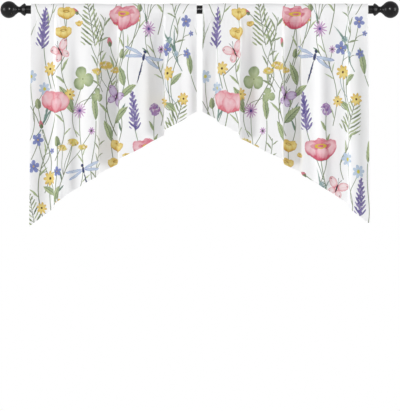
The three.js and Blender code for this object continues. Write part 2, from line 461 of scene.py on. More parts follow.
def step(tree, kind, settings=None, **links):
    """Adds a node, sets its properties, and links or sets its inputs by name."""
    node = tree.nodes.new(kind)
    for name, value in (settings or {}).items():
        setattr(node, name, value)
    for name, value in links.items():
        socket = next(s for s in node.inputs if s.enabled and s.name.replace(" ", "_") == name)
        if isinstance(value, Field):
            value = value.socket
        if isinstance(value, bpy.types.NodeSocket):
            tree.links.new(value, socket)
        else:
            socket.default_value = value
    return next(s for s in node.outputs if s.enabled)


def finish_tree(tree, geometry, material, output):
    whole = step(tree, "GeometryNodeRealizeInstances", Geometry=geometry)
    finished = step(tree, "GeometryNodeSetMaterial", Geometry=whole, Material=material)
    tree.links.new(finished, output["Geometry"])


def lathe_tree():
    """Turns a profile, a row of points at (along, 0, radius), about the X axis into a closed skin."""
    tree, given, output = new_tree("turned_on_a_lathe", Sides="NodeSocketInt", Finish="NodeSocketMaterial")
    sides = Field(tree, given["Sides"])
    count = step(tree, "GeometryNodeAttributeDomainSize", Geometry=given["Geometry"])
    around = sides + 1
    skin = step(tree, "GeometryNodeMeshGrid", Size_X=1.0, Size_Y=1.0, Vertices_X=count, Vertices_Y=around)
    index = Field(tree, step(tree, "GeometryNodeInputIndex"))
    ring = (index / around + 1e-4).math("FLOOR")
    place = step(tree, "GeometryNodeInputPosition")
    sampled = step(
        tree,
        "GeometryNodeSampleIndex",
        {"data_type": "FLOAT_VECTOR"},
        Geometry=given["Geometry"],
        Value=place,
        Index=ring,
    )
    profile = tree.nodes.new("ShaderNodeSeparateXYZ")
    tree.links.new(sampled, profile.inputs[0])
    along, _, radius = (Field(tree, out) for out in profile.outputs)
    angle = (index - ring * around) / sides * (2 * math.pi)
    turned_place = step(tree, "ShaderNodeCombineXYZ", X=along, Y=angle.math("COSINE") * radius,
                        Z=angle.math("SINE") * radius)
    skin = step(tree, "GeometryNodeSetPosition", Geometry=skin, Position=turned_place)
    skin = step(tree, "GeometryNodeMergeByDistance", Geometry=skin, Distance=0.01 * MM)
    finish_tree(tree, skin, given["Finish"], output)
    return tree


def stitch_tree():
    """Lays a stitch at every pitch along lines that carry the cloth's outward direction."""
    tree, given, output = new_tree(
        "running_stitch",
        Pitch="NodeSocketFloat",
        Stitch_Length="NodeSocketFloat",
        Thread_Width="NodeSocketFloat",
        Seed="NodeSocketInt",
        Thread="NodeSocketMaterial",
    )
    line = step(tree, "GeometryNodeMeshToCurve", Mesh=given["Geometry"])
    line = step(tree, "GeometryNodeResampleCurve", {"mode": "LENGTH"}, Curve=line, Length=given["Pitch"])
    outward = step(tree, "GeometryNodeInputNamedAttribute", {"data_type": "FLOAT_VECTOR"}, Name="outward")
    tangent = step(tree, "GeometryNodeInputTangent")
    axes = {"primary_axis": "X", "secondary_axis": "Z"}
    turn = step(tree, "FunctionNodeAxesToRotation", axes, Primary_Axis=tangent, Secondary_Axis=outward)
    uneven = Field(tree, step(tree, "FunctionNodeRandomValue", Min=0.9, Max=1.06, Seed=given["Seed"]))
    width = Field(tree, given["Thread Width"])
    length = uneven * Field(tree, given["Stitch Length"])
    size = step(tree, "ShaderNodeCombineXYZ", X=length, Y=width, Z=width * 0.8)
    stitch = step(tree, "GeometryNodeMeshUVSphere", Segments=6, Rings=4, Radius=0.5)
    stitches = step(
        tree, "GeometryNodeInstanceOnPoints", Points=line, Instance=stitch, Rotation=turn, Scale=size
    )
    stitches = step(tree, "GeometryNodeSetShadeSmooth", Geometry=stitches)
    finish_tree(tree, stitches, given["Thread"], output)
    return tree


def guide_lines(name, lines, directions=None):
    """Rows of points joined into lines, as a mesh for a tree to work from."""
    mesh = bpy.data.meshes.new(name)
    starts = np.cumsum([0] + [len(line) for line in lines])
    edges = [(k, k + 1) for start, line in zip(starts, lines) for k in range(start, start + len(line) - 1)]
    mesh.from_pydata(np.concatenate(lines).tolist(), edges, [])
    if directions:
        outward = mesh.attributes.new("outward", "FLOAT_VECTOR", "POINT")
        outward.data.foreach_set("vector", np.concatenate(directions).astype(np.float32).ravel())
    return mesh


def grown(name, guide, tree, **settings):
    """Runs a tree on a guide and keeps what it makes as a plain mesh."""
    maker = add_object(name + "_guide", guide)
    modifier = maker.modifiers.new("grow", "NODES")
    modifier.node_group = tree
    for item in tree.interface.items_tree:
        if item.in_out == "INPUT" and item.name.replace(" ", "_") in settings:
            modifier[item.identifier] = settings[item.name.replace(" ", "_")]
    mesh = bpy.data.meshes.new_from_object(maker.evaluated_get(bpy.context.evaluated_depsgraph_get()))
    mesh.name = name
    finish = next(material for material in mesh.materials if material)
    mesh.materials.clear()
    mesh.materials.append(finish)
    mesh.polygons.foreach_set("material_index", np.zeros(len(mesh.polygons), np.int32))
    maker.modifiers.remove(modifier)
    bpy.data.objects.remove(maker)
    return add_object(name, mesh)


# Turned metal

def turned(name, profile, finish, side=1, place=0):
    """A solid of revolution along X from (along, radius) points, the first and last of them on the axis."""
    points = [(along, 0, radius) for along, radius in profile]
    piece = grown(name, guide_lines(name, [points]), lathe, Sides=TURNED_SIDES, Finish=finish)
    piece.data.transform(Matrix.Translation((side * place, 0, 0)) @ Matrix.Diagonal((side, 1, 1, 1)))
    outline = bmesh.new()
    outline.from_mesh(piece.data)
    bmesh.ops.recalc_face_normals(outline, faces=outline.faces)
    outline.to_mesh(piece.data)
    outline.free()
    piece.data.shade_smooth()
    piece.data.set_sharp_from_angle(angle=math.radians(35))
    return piece


def arc_points(centre, radius, start, end, steps):
    """(along, radius) points on an arc; angles in degrees from the axis."""
    angles = np.radians(np.linspace(start, end, steps + 1))
    return [(centre[0] - radius * math.cos(a), centre[1] + radius * math.sin(a)) for a in angles]


def pole(finish):
    edge = 0.8 * MM
    ends = [(-POLE_END, 0), (-POLE_END, POLE_RADIUS - edge), (-POLE_END + edge, POLE_RADIUS)]
    return turned("pole_tube", ends + [(-along, radius) for along, radius in reversed(ends)], finish)


def through(points, steps=5):
    """A smooth line through points, its ends included."""
    known = np.array(points)
    known = np.concatenate([[2 * known[0] - known[1]], known, [2 * known[-1] - known[-2]]])
    line = []
    for a, b, c, d in zip(known, known[1:], known[2:], known[3:]):
        slope = (c - a) / 2
        bow = a - 2.5 * b + 2 * c - d / 2
        twist = 1.5 * (b - c) + (d - a) / 2
        for t in np.arange(steps) / steps:
            line.append(tuple(b + slope * t + bow * t**2 + twist * t**3))
    return line + [tuple(points[-1])]


def ball_end(name, side, finish):
    """A turned end: a collar that meets the pole, a cove, a neck and the ball."""
    # Each point's place along the axis and its radius, in millimetres
    shoulder = [(2.6, 17.5), (4.4, 21.2), (6.4, 23.6), (8.4, 25.2)]
    cove = [(11.8, 25.2), (14.2, 23.7), (17, 21.8), (19.6, 20), (22.4, 17.6), (25.2, 15.1), (28, 13.2)]
    neck = [(31, 12.5), (34, 12.7), (37, 14), (40, 16.5), (43, 19.1), (45.4, 20.9)]
    profile = [(0, 0), (0, POLE_RADIUS)]
    profile += [(along * MM, radius * MM) for along, radius in through(shoulder)]
    rounding = 2.2 * MM
    profile += arc_points((10 * MM, COLLAR_RADIUS - rounding), rounding, 50, 130, 8)
    profile += [(along * MM, radius * MM) for along, radius in through(cove + neck)]
    neck_meets_ball = 21.2 * MM
    start = math.degrees(math.asin(neck_meets_ball / BALL_RADIUS))
    profile += arc_points((BALL_CENTRE, 0), BALL_RADIUS, start, 180, 40)
    profile[-1] = (profile[-1][0], 0)
    return turned(name, profile, finish, side, POLE_END + BALL_END_GAP)


# Stitches

def stitch_lines(cloth, side):
    """The sewn lines of a curtain, on both faces: the pocket's seam, the hem and the two side hems."""
    points, u, flat_width, seam_row = cloth["points"], cloth["u"][0], cloth["flat_width"], cloth["seam_row"]
    normal = grid_normals(points)
    columns = np.arange(len(u))
    side_inset = SIDE_HEM - SEWN_INSIDE_EDGE

    def across_at(height):
        """The row number, whole and part, at which each column passes a height."""
        below = points[seam_row:, :, 2]
        numbers = np.arange(len(below))
        return seam_row + np.array([np.interp(-height[k], -below[:, k], numbers) for k in columns])

    def sample(grid, rows, places):
        """Values of the grid at part-way rows and columns."""
        r, c = np.minimum(rows.astype(int), len(grid) - 2), np.minimum(places.astype(int), len(u) - 2)
        fr, fc = (rows - r)[:, None], (places - c)[:, None]
        upper = mix(grid[r, c], grid[r, c + 1], fc)
        lower = mix(grid[r + 1, c], grid[r + 1, c + 1], fc)
        return mix(upper, lower, fr)

    first, last = side_inset / u[1], (flat_width - side_inset) / u[1]
    hem_line = across_at(cloth["hem"] + HEM_DEPTH - SEWN_INSIDE_EDGE)
    across = np.linspace(first, last, 2 * len(u))
    sewn = [(np.interp(across, columns, hem_line), across), (np.full_like(across, seam_row + 0.4), across)]
    for edge in (first, last):
        lowest = np.interp(edge, columns, hem_line)
        rows = np.linspace(seam_row + 1, lowest, 2 * len(points))
        sewn.append((rows, np.full_like(rows, edge)))
    lines, directions = [], []
    for rows, places in sewn:
        for face in (1, -1):
            outward = face * sample(normal, rows, places)
            line = sample(points, rows, places) + outward * ((CLOTH + HEM_EXTRA) / 2)
            line[:, 0] = side * (INNER_SIDE + line[:, 0])
            lines.append(line)
            directions.append(outward * (side, 1, 1))
    return lines, directions


def stitching(name, cloth, side, thread):
    lines, directions = stitch_lines(cloth, side)
    return grown(
        name,
        guide_lines(name, lines, directions),
        running_stitch,
        Pitch=STITCH_PITCH,
        Stitch_Length=STITCH_LENGTH,
        Thread_Width=STITCH_WIDTH,
        Seed=7,
        Thread=thread,
    )


# The print. Each flower, leaf and stem is a small chart laid on the flat cloth: every face under it
# knows where it lies in the chart, and the ink works out the shape from there.

LAYERS = 4
STEM, LEAF, BLOOM, CUP, FROND, CLUSTER, BUTTERFLY, DRAGONFLY = range(8)
PRINT_REPEAT = (0.90, 0.96)
HAND_WOBBLE = 8 * MM

INKS = {
    "rose": (200, 70, 96),
    "blush": (240, 180, 188),
    "coral": (222, 106, 120),
    "stamen": (220, 188, 60),
    "sage": (114, 136, 90),
    "moss": (62, 82, 48),
    "lime": (168, 184, 124),
    "sea_green": (88, 124, 108),
    "sea_deep": (46, 78, 68),
    "stalk": (102, 112, 76),
    "stalk_dark": (54, 64, 38),
    "blue": (112, 126, 190),
    "blue_deep": (68, 78, 152),
    "sky": (172, 194, 220),
    "mist": (132, 160, 174),
    "violet": (136, 120, 178),
    "violet_deep": (72, 60, 128),
    "mauve": (208, 158, 204),
    "mauve_deep": (146, 86, 156),
    "lilac": (206, 182, 224),
    "yellow": (240, 210, 98),
    "amber": (208, 158, 50),
    "lemon": (212, 202, 78),
    "brown": (92, 52, 20),
    "night": (30, 26, 38),
    "navy": (40, 52, 104),
    "petal": (246, 212, 214),
}


def ink(name):
    """An ink's linear colour."""
    value = np.array(INKS[name]) / 255
    return np.where(value <= 0.04045, value / 12.92, ((value + 0.055) / 1.055) ** 2.4)


class Motif:
    """A straight chart: its middle, half its length, its turn, and how far its shape reaches in it."""

    def __init__(self, kind, place, size, turn, inks, form=(0, 0, 0, 0), reach=(1.1, 1.1)):
        self.kind, self.inks, self.form = kind, inks, form
        self.place, self.size, self.turn, self.reach = np.array(place), size, turn, reach

    def box(self):
        radius = self.size * math.hypot(*self.reach)
        return self.place - radius, self.place + radius

    def chart(self, points):
        x, y = ((points - self.place) / self.size).T
        c, s = math.cos(self.turn), math.sin(self.turn)
        return np.stack([c * x + s * y, c * y - s * x], 0).T

    def touches(self, chart):
        reach = np.array(self.reach)
        return ((chart.min(1) < reach) & (chart.max(1) > -reach)).all(-1)


class Stem(Motif):
    """A chart that follows a line: across it from -1 to 1, and along it from 0 to 1."""

    def __init__(self, points, half_width, inks):
        super().__init__(STEM, points[0], half_width, 0, inks)
        self.points = np.array(points)

    def box(self):
        margin = 10 * MM
        return self.points.min(0) - margin, self.points.max(0) + margin

    def chart(self, points):
        starts, ends = self.points[:-1], self.points[1:]
        runs = ends - starts
        lengths = np.linalg.norm(runs, axis=1)
        flat = points.reshape(-1, 1, 2) - starts
        along = (flat * runs).sum(-1) / lengths**2
        held = np.clip(along, 0, 1)
        held[:, 0] = np.minimum(along[:, 0], 1)
        held[:, -1] = np.maximum(along[:, -1], 0)
        away = flat - held[..., None] * runs
        nearest = np.linalg.norm(away, axis=-1).argmin(1)
        pick = np.arange(len(nearest)), nearest
        side = runs[nearest, 0] * flat[pick][:, 1] - runs[nearest, 1] * flat[pick][:, 0]
        before = np.concatenate([[0], np.cumsum(lengths)])[nearest]
        share = (before + held[pick] * lengths[nearest]) / lengths.sum()
        across = side / lengths[nearest] / self.size
        return np.stack([across, share], -1).reshape(points.shape)

    def touches(self, chart):
        low, high = chart.min(1), chart.max(1)
        return (low[:, 0] < 1.2) & (high[:, 0] > -1.2) & (low[:, 1] < 1) & (high[:, 1] > 0)


def bent_line(start, end, bend, steps=16):
    """Points on a curve from start to end, bent to one side by a share of its length, and back a little."""
    start, end = np.array(start, float), np.array(end, float)
    run = end - start
    side = np.array([-run[1], run[0]])
    t = np.linspace(0, 1, steps)[:, None]
    return start + run * t + side * bend * (np.sin(math.pi * t) + 0.35 * np.sin(2 * math.pi * t))


def heading(line, share):
    """The turn of a chart that points along a line at a share of its length."""
    k = min(len(line) - 2, int(share * (len(line) - 1)))
    run = line[k + 1] - line[k]
    return math.atan2(run[1], run[0]) - math.pi / 2


def at_share(line, share):
    return line[min(len(line) - 1, int(share * (len(line) - 1)))]


def leaf(place, size, turn, inks=("lime", "sage", "moss"), width=0.34, bend=0.0, full=0.8):
    """A leaf that grows from place towards turn."""
    middle = np.array(place) + size * np.array([-math.sin(turn), math.cos(turn)])
    reach = (width * 1.3 + abs(bend) + 0.1, 1.05)
    return Motif(LEAF, middle, size, turn, inks, (width, full, bend, 0), reach)


def leaves_along(line, shares, size, rng, **look):
    """Leaves on alternate sides of a line."""
    made = []
    for k, share in enumerate(shares):
        side = -1 if k % 2 else 1
        turn = heading(line, share) + side * rng.uniform(0.45, 0.85)
        made.append(leaf(at_share(line, share), size * rng.uniform(0.8, 1.2), turn, bend=side * 0.1, **look))
    return made


def bloom(place, size, inks, petals, cut, sharp, centre, turn=0.0):
    return Motif(BLOOM, place, size, turn, inks, (petals, cut, sharp, centre), (1.08, 1.08))


def twiglet(start, end, half_width=2.0 * MM, bend=0.12, inks=("stalk", "sage", "stalk_dark")):
    """A short side stem."""
    line = bent_line(start, end, bend)
    return line, Stem(line, half_width, inks)


def stalk(x, y, length, lean, rng, half_width=2.6 * MM, inks=("stalk", "sage", "stalk_dark"), bend=0.15):
    """A stem that comes up from below and ends under a flower at (x, y)."""
    foot = (x - lean * length, y - length)
    return twiglet(foot, (x, y), half_width, rng.uniform(0.5, 1) * bend * rng.choice([-1, 1]), inks)


# Plants: each takes where its top flower is, its size and a random source, and returns its motifs

def poppy(x, y, size, lean, rng, inks=("blush", "rose", "stamen"), open_cup=1):
    line, stem = stalk(x, y - size * 0.5, 0.45, lean, rng, 2.8 * MM)
    head = Motif(CUP, (x, y), size, -lean * 0.8, inks, (open_cup, 0, 0, 0), (1.1, 0.9))
    made = [stem, head, *leaves_along(line, (0.2, 0.42, 0.6), size * 0.42, rng, width=0.17, full=0.7)]
    side_line, side_stem = twiglet(at_share(line, 0.5), (x - size * 0.9, y - size * 1.35), 2.2 * MM, -0.2)
    tip, turn = side_line[-1], heading(side_line, 0.9)
    bud = leaf(tip - (0, 0.004), size * 0.22, turn, ("coral", "rose", "moss"), 0.58, 0, 0.6)
    sepal = leaf(tip - (0, 0.006), size * 0.13, turn, ("sage", "moss", "moss"), 0.8, 0, 0.6)
    return made + [side_stem, bud, sepal]


def pale_poppy(x, y, size, lean, rng):
    return poppy(x, y, size, lean, rng, ("blush", "coral", "stamen"), 0)


def green_bud(x, y, size, lean, rng):
    line, stem = stalk(x, y, 0.35, lean, rng, 2.3 * MM)
    return [stem, leaf(line[-1] - (0, 0.003), size, -lean, ("lime", "moss", "moss"), 0.62, 0, 0.55)]


def cornflower(x, y, size, lean, rng):
    line, stem = stalk(x, y, 0.40, lean, rng, 2.2 * MM)
    inks = ("mauve_deep", "mauve", "violet_deep")
    made = [stem, bloom((x, y), size, inks, 13, 0.66, 1.5, 0.17, rng.uniform(0, 1))]
    end = (x + 0.06, y - 0.085)
    made += [twiglet(at_share(line, 0.55), end)[1]]
    made += [bloom(end, size * 0.5, ("mauve_deep", "mauve", "moss"), 9, 0.6, 1.2, 0.25)]
    return made + leaves_along(line, (0.1, 0.3, 0.5, 0.55, 0.78), size * 0.75, rng, width=0.13)


def blue_spray(x, y, size, lean, rng):
    line, stem = stalk(x, y, 0.40, lean, rng, 2.2 * MM)
    look = dict(inks=("blue_deep", "blue", "stamen"), petals=5, cut=0.68, sharp=0.6, centre=0.12)
    made = [stem, bloom((x, y), size, turn=rng.uniform(0, 1), **look)]
    side_heads = ((0.72, (-0.062, 0.02), 1.05), (0.6, (0.05, 0.025), 0.74), (0.8, (0.045, 0.03), 0.45))
    for share, away, scale in side_heads:
        start = at_share(line, share)
        end = start + np.array(away)
        made += [twiglet(start, end, 1.7 * MM)[1], bloom(end, size * scale, turn=rng.uniform(0, 1), **look)]
    return made + leaves_along(line, (0.12, 0.34, 0.46), size * 1.15, rng, width=0.38)


def daisy_spray(x, y, size, lean, rng, inks=("yellow", "amber", "brown")):
    line, stem = stalk(x, y, 0.38, lean, rng, 2.2 * MM)
    look = dict(inks=inks, petals=8, cut=0.5, sharp=0.75, centre=0.17)
    made = [stem, bloom((x, y), size, **look)]
    for share, away, scale in ((0.66, (-0.045, 0.035), 0.78), (0.6, (0.055, 0.045), 0.9)):
        start = at_share(line, share)
        end = start + np.array(away)
        made += [twiglet(start, end, 1.8 * MM)[1], bloom(end, size * scale, turn=0.4, **look)]
    return made + leaves_along(line, (0.14, 0.3, 0.46), size * 0.95, rng, width=0.15)


def pale_daisies(x, y, size, lean, rng):
    line, stem = stalk(x, y, 0.31, lean, rng, 2.0 * MM)
    look = dict(inks=("sky", "sky", "lemon"), petals=7, cut=0.56, sharp=0.6, centre=0.26)
    end = np.array([x + 0.062, y - 0.05])
    side = twiglet(at_share(line, 0.4), end, 1.7 * MM)[1]
    return [stem, side, bloom((x, y), size, **look), bloom(end, size * 0.95, turn=0.5, **look)]


def buttercups(x, y, size, lean, rng):
    line, stem = stalk(x, y, 0.36, lean, rng, 2.2 * MM)
    made = [stem]
    inks = ("yellow", "amber", "brown")
    lower, lowest = (x + size * 1.35, y - size * 0.95), (x - 0.014, y - size * 1.75)
    for place, scale in (((x, y), 1), (lowest, 0.94), (lower, 0.42)):
        made += [Motif(CUP, place, size * scale, -lean, inks, (0.45, 0, 0, 0), (1.1, 0.9))]
    return made + leaves_along(line, (0.2, 0.36, 0.5), size * 0.8, rng, width=0.2)


def lavender(x, y, size, lean, rng):
    line, stem = stalk(x, y - size * 0.6, 0.40, lean, rng, 2.4 * MM, ("sea_green", "sage", "sea_deep"))
    inks, greens = ("violet", "violet_deep", "violet_deep"), ("sea_green", "sea_deep", "sea_deep")
    spike = Motif(CLUSTER, (x, y), size, -lean, inks, (0.22, 0.96, 0.2, 8.5), (0.4, 1.0))
    florets = Motif(FROND, (x, y), size, -lean, inks, (0.40, 7.5, 0.66, 0.42), (0.5, 1.0))
    blades = [leaf(line[1], length, heading(line, 0.2) + turn, greens, 0.075, bend, 0.7)
              for turn, bend, length in ((0.26, 0.16, 0.10), (-0.2, -0.14, 0.085))]
    return [stem, *blades, florets, spike]


def forget_me_not(x, y, size, lean, rng):
    greens, inks = ("mist", "sea_green", "sea_deep"), ("sky", "mist", "sea_deep")
    line, stem = stalk(x, y, 0.26, lean, rng, 1.8 * MM, greens)
    made = [stem, Motif(CLUSTER, (x, y), size, 0, greens, (0.9, 0.7, 0.1, 3.4), (1.0, 0.8))]
    end = at_share(line, 0.7) + np.array([0.04, 0.03])
    made += [twiglet(at_share(line, 0.6), end, 1.6 * MM)[1]]
    return made + [Motif(CLUSTER, end, size * 0.7, 0, inks, (0.9, 0.8, 0.1, 2.6), (1.0, 0.9))]


def fern(x, y, size, lean, rng):
    _, stem = stalk(x, y - size * 0.9, 0.19, lean, rng, 2.2 * MM)
    inks = ("lime", "moss", "stalk_dark")
    return [stem, Motif(FROND, (x, y), size, -lean, inks, (0.74, 8.5, 0.56, 0.6), (0.8, 1.05))]


def twig(x, y, size, lean, rng, inks=("sage", "stalk", "moss")):
    line, stem = stalk(x, y, size * 2.6, lean, rng, 2.1 * MM, bend=0.18)
    shares = (0.12, 0.24, 0.36, 0.48, 0.6, 0.7, 0.8, 0.88, 0.95)
    return [stem, *leaves_along(line, shares, size * 0.24, rng, inks=inks, width=0.15)]


def grass(x, y, size, lean, rng):
    foot = (x - lean * size, y - size)
    return [leaf(foot, size * scale, -lean + turn, ("sage", "stalk_dark", "stalk_dark"), 0.05, bend, 0.8)
            for turn, bend, scale in ((0.05, 0.1, 0.6), (0.3, 0.16, 0.42), (-0.22, -0.13, 0.5))]


def clover(x, y, size, lean, rng):
    line, stem = stalk(x, y, 0.24, lean, rng, 2.1 * MM)
    look = dict(inks=("lime", "sage", "moss"), petals=3, cut=0.72, sharp=0.42, centre=0.05)
    end = (x + size * 1.35, y - size * 1.3)
    made = [stem, twiglet(at_share(line, 0.4), end, 1.8 * MM)[1], bloom((x, y), size, turn=0.2, **look)]
    made += [bloom(end, size * 0.62, turn=0.9, **look)]
    return made + leaves_along(line, (0.45,), size, rng, width=0.36)


def clover_ball(x, y, size, lean, rng):
    line, stem = stalk(x, y, 0.33, lean, rng, 2.2 * MM)
    inks = ("violet", "mauve_deep", "violet_deep")
    ball = Motif(CLUSTER, (x, y), size, 0, inks, (1.0, 0.94, 0, 3.2), (1.0, 1.0))
    return [stem, ball, *leaves_along(line, (0.4, 0.6, 0.75), size * 0.9, rng, width=0.3)]


def long_leaf(x, y, size, lean, rng):
    line, stem = stalk(x, y - size, 0.35, lean, rng, 2.2 * MM)
    return [stem, leaf(line[-1], size, -lean, ("lime", "sage", "moss"), 0.27, 0.05)]


def leafy_stem(x, y, size, lean, rng):
    line, stem = stalk(x, y, 0.35, lean, rng, 2.2 * MM)
    return [stem, *leaves_along(line, (0.3, 0.5, 0.68, 0.84, 0.97), size, rng, width=0.36)]


def yarrow(x, y, size, lean, rng):
    line, stem = stalk(x, y, 0.35, lean, rng, 2.2 * MM)
    inks, greens = ("lemon", "amber", "sage"), ("sea_green", "moss", "moss")
    made = [stem]
    for away, scale in (((0, 0), 1), ((-0.05, -0.025), 0.8), ((0.048, -0.02), 0.75)):
        head = np.array([x, y]) + away
        made += [twiglet(at_share(line, 0.62), head, 1.7 * MM, 0.05)[1]]
        made += [Motif(CLUSTER, head, size * scale, 0, inks, (1.0, 0.5, 0, 3.6), (1.0, 0.6))]
    return made + leaves_along(line, (0.25, 0.42, 0.55), size * 0.8, rng, inks=greens, width=0.2)


def butterfly(x, y, size, lean, rng, inks=("petal", "coral", "night")):
    return [Motif(BUTTERFLY, (x, y), size, lean, inks, (0, 0, 0, 0), (1.0, 0.85))]


def mauve_butterfly(x, y, size, lean, rng):
    return butterfly(x, y, size, lean, rng, ("lilac", "mauve_deep", "night"))


def dragonfly(x, y, size, lean, rng):
    return [Motif(DRAGONFLY, (x, y), size, lean, ("sky", "blue", "navy"), (0, 0, 0, 0), (1.05, 1.05))]


# One repeat of the print: each plant's kind, where its top is (across, and down from the pole),
# its size and its lean
PLANTS = [
    (lavender, 0.085, 0.115, 0.088, 0.10),
    (grass, 0.02, 0.06, 0.20, 0.1),
    (buttercups, 0.205, 0.055, 0.046, -0.1),
    (fern, 0.325, 0.095, 0.1, -0.2),
    (twig, 0.405, 0.07, 0.12, 0.05),
    (poppy, 0.505, 0.07, 0.086, 0.1),
    (cornflower, 0.635, 0.12, 0.036, -0.15),
    (green_bud, 0.585, 0.05, 0.020, 0.1),
    (blue_spray, 0.835, 0.09, 0.028, 0.1),
    (forget_me_not, 0.755, 0.165, 0.020, -0.1),
    (daisy_spray, 0.115, 0.285, 0.030, -0.1),
    (butterfly, 0.175, 0.215, 0.055, 0.5),
    (pale_daisies, 0.025, 0.315, 0.029, 0.1),
    (clover, 0.285, 0.325, 0.054, 0.1),
    (yarrow, 0.405, 0.27, 0.034, -0.2),
    (green_bud, 0.50, 0.235, 0.019, 0.15),
    (dragonfly, 0.60, 0.26, 0.100, -0.3),
    (daisy_spray, 0.745, 0.30, 0.031, 0.05),
    (long_leaf, 0.86, 0.25, 0.058, -0.2),
    (leafy_stem, 0.52, 0.33, 0.048, 0.2),
    (pale_poppy, 0.145, 0.42, 0.076, 0.12),
    (cornflower, 0.27, 0.455, 0.034, 0.1),
    (long_leaf, 0.35, 0.44, 0.056, -0.15),
    (mauve_butterfly, 0.455, 0.40, 0.054, -0.4),
    (lavender, 0.56, 0.46, 0.082, -0.12),
    (clover_ball, 0.665, 0.45, 0.027, 0.15),
    (fern, 0.80, 0.47, 0.090, 0.3),
    (green_bud, 0.06, 0.445, 0.022, -0.1),
    (blue_spray, 0.06, 0.575, 0.028, -0.15),
    (yarrow, 0.24, 0.585, 0.030, 0.1),
    (twig, 0.375, 0.57, 0.09, -0.15),
    (buttercups, 0.47, 0.60, 0.042, 0.1),
    (poppy, 0.635, 0.615, 0.080, -0.1),
    (pale_daisies, 0.765, 0.655, 0.031, 0.1),
    (long_leaf, 0.87, 0.61, 0.060, 0.15),
    (green_bud, 0.165, 0.60, 0.022, -0.15),
    (daisy_spray, 0.12, 0.735, 0.032, 0.12),
    (dragonfly, 0.30, 0.72, 0.088, 0.3),
    (clover, 0.42, 0.77, 0.052, -0.1),
    (cornflower, 0.545, 0.785, 0.035, 0.1),
    (butterfly, 0.71, 0.775, 0.054, -0.45),
    (forget_me_not, 0.64, 0.76, 0.021, 0.1),
    (lavender, 0.835, 0.81, 0.080, 0.05),
    (fern, 0.04, 0.88, 0.088, -0.2),
    (long_leaf, 0.19, 0.87, 0.058, 0.2),
    (pale_poppy, 0.335, 0.905, 0.08, 0.1),
    (daisy_spray, 0.50, 0.925, 0.033, 0.1),
    (yarrow, 0.655, 0.90, 0.030, -0.1),
    (twig, 0.765, 0.93, 0.10, 0.1),
]


def printed_motifs(low, high):
    """The print's motifs that reach the cloth between two corners, in the order of printing."""
    found = []
    for across in range(-2, 2):
        for up in range(-1, 2):
            rng = np.random.default_rng(5)
            shift = np.array([across, up]) * PRINT_REPEAT
            for plant, x, y, size, lean in PLANTS:
                for motif in plant(x + shift[0], shift[1] - y, size, lean, rng):
                    motif_low, motif_high = motif.box()
                    if (motif_low < high).all() and (motif_high > low).all():
                        found.append(motif)
    order = (STEM, LEAF, CLUSTER, FROND, BLOOM, CUP, DRAGONFLY, BUTTERFLY)
    return sorted(found, key=lambda motif: order.index(motif.kind))


def lay_print(sheet, on_flat):
    """Writes each face's motifs, up to LAYERS of them, and each corner's place in their charts."""
    order = np.argsort(on_flat[:, :, 0].min(1), kind="stable")
    face_low, face_high = on_flat.min(1)[order], on_flat.max(1)[order]
    motifs = printed_motifs(face_low.min(0), face_high.max(0))
    widest = (face_high - face_low)[:, 0].max()
    held = np.full((len(on_flat), LAYERS), -1)
    count = np.zeros(len(on_flat), int)
    for number, motif in enumerate(motifs):
        low, high = motif.box()
        first, last = np.searchsorted(face_low[:, 0], (low[0] - widest, high[0]))
        near = slice(max(0, first - 1), last)
        near = order[near][((face_low[near] < high) & (face_high[near] > low)).all(-1)]
        faces = near[motif.touches(motif.chart(on_flat[near].reshape(-1, 2)).reshape(-1, 4, 2))]
        full = faces[count[faces] == LAYERS]
        held[full, :-1] = held[full, 1:]
        count[full] -= 1
        held[faces, count[faces]] = number
        count[faces] += 1
    mesh = sheet.data
    seeds = np.random.default_rng(9).uniform(0.05, 0.9, len(motifs))
    inks = np.array([[ink(name) for name in motif.inks] for motif in motifs])
    forms = np.array([motif.form for motif in motifs])
    loose = np.array([0 if motif.kind == STEM else HAND_WOBBLE / motif.size for motif in motifs])
    for layer in range(LAYERS):
        chart = np.zeros((len(on_flat), 4, 3), np.float32)
        chart[..., 2] = -1
        inked = np.nonzero(held[:, layer] >= 0)[0]
        inked = inked[np.argsort(held[inked, layer], kind="stable")]
        numbers, starts = np.unique(held[inked, layer], return_index=True)
        for number, faces in zip(numbers, np.split(inked, starts[1:])):
            motif = motifs[number]
            chart[faces, :, :2] = motif.chart(on_flat[faces].reshape(-1, 2)).reshape(-1, 4, 2)
            chart[faces, :, 2] = motif.kind + seeds[number]
        attribute = mesh.attributes.new(f"chart_{layer}", "FLOAT_VECTOR", "CORNER")
        attribute.data.foreach_set("vector", chart.ravel())
        form = forms[held[:, layer]].astype(np.float32)
        attribute = mesh.attributes.new(f"form_{layer}", "FLOAT_COLOR", "FACE")
        attribute.data.foreach_set("color", form.ravel())
        for k, name in enumerate(("inner", "outer", "mark")):
            colour = np.empty((len(on_flat), 4), np.float32)
            colour[:, :3] = inks[held[:, layer], k]
            colour[:, 3] = loose[held[:, layer]]
            attribute = mesh.attributes.new(f"{name}_{layer}", "FLOAT_COLOR", "FACE")
            attribute.data.foreach_set("color", colour.ravel())


# The ink

def lobe(x, y, centre, size, turn=0.0):
    """How far out a point is in an ellipse: 0 in its middle, 1 on its edge."""
    c, s = math.cos(turn), math.sin(turn)
    dx, dy = x - centre[0], y - centre[1]
    across = (dx * c + dy * s) / size[0]
    along = (dy * c - dx * s) / size[1]
    return (across * across + along * along) ** 0.5


def inside(distance, edge=0.08):
    return (1 - distance).soft(0, edge)


# Each of these gives a motif's cover, its tone from inner to outer ink, its share of the mark's ink,
# and its strength

def stem_ink(x, y, form, seed):
    cover = (1 - abs(x)).soft(0, 0.5) * y.soft(0, 0.01) * (1 - y).soft(0, 0.01)
    return cover, y, (x - 0.1).soft(0, 0.5) * 0.75, 0.95


